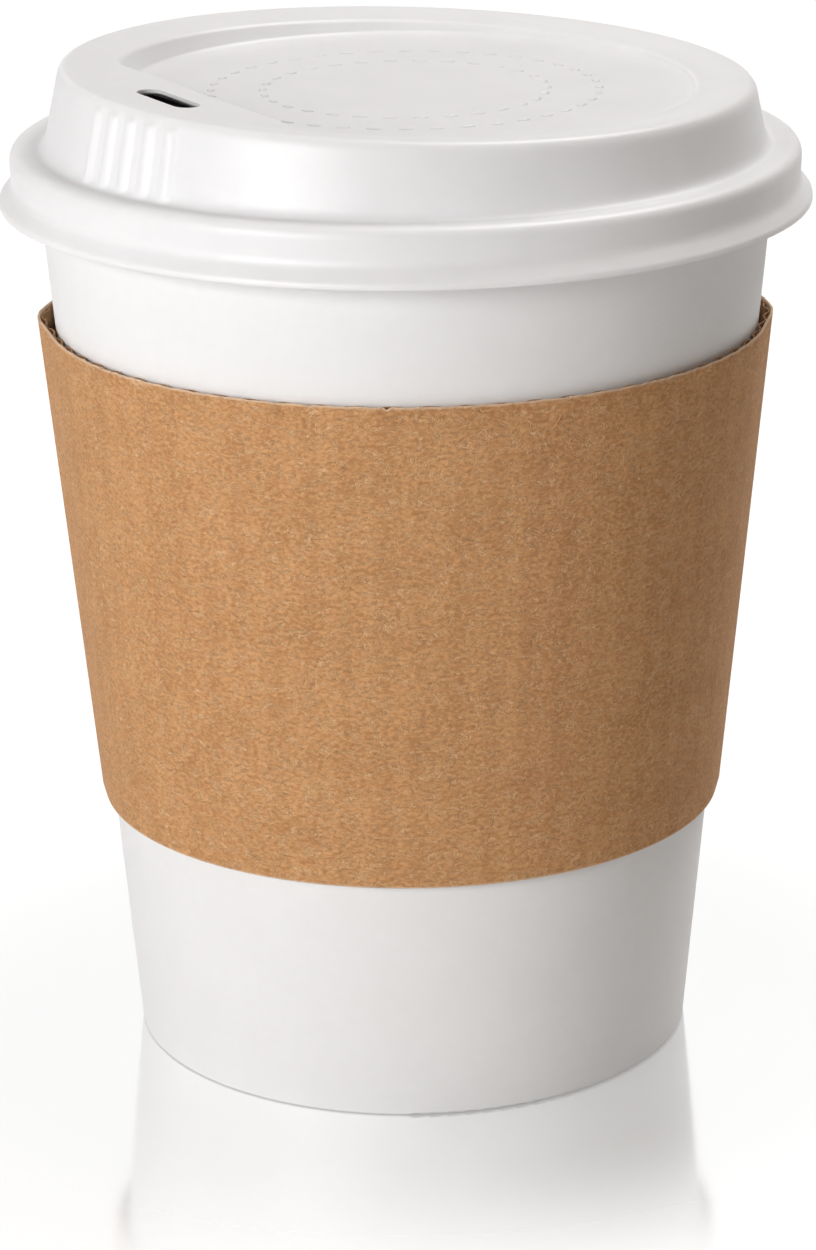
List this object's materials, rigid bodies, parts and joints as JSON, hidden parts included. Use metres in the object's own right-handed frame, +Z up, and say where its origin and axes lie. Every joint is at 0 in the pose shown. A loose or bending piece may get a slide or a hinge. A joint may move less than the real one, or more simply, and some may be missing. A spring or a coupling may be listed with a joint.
{
  "type": "paper coffee cup",
  "caption": "Tapered paper hot-drink cup with a push-fit white travel lid and a corrugated kraft sleeve that grips the wall.",
  "frame": {"origin": "centre of the foot ring, on the surface that the cup stands on", "axes": "+Z up the axis of the cup; -Y is the side that the picture shows; the drinking slot is at azimuth 214 degrees from +X"},
  "size_m": [0.0946, 0.0946, 0.1183],
  "materials": {
    "cup_paper": "smooth coated white board",
    "kraft_liner": "uncoated brown kraft",
    "kraft_fluting": "uncoated brown corrugated medium",
    "lid_plastic": "satin thermoformed"
  },
  "bodies": {
    "cup": {"cup_sidewall": "cup_paper", "cup_base_disc": "cup_paper"},
    "sleeve": {"sleeve_liner": "kraft_liner", "sleeve_fluting": "kraft_fluting"},
    "lid": {"lid": "lid_plastic"}
  },
  "joints": [
    {"name": "lid_lift", "type": "slide", "parent": "cup", "child": "lid", "axis": [0, 0, 1], "range_m": [0, 0.03]},
    {"name": "sleeve_slip", "type": "slide", "parent": "cup", "child": "sleeve", "axis": [0, 0, -1], "range_m": [0, 0.029]}
  ]
}
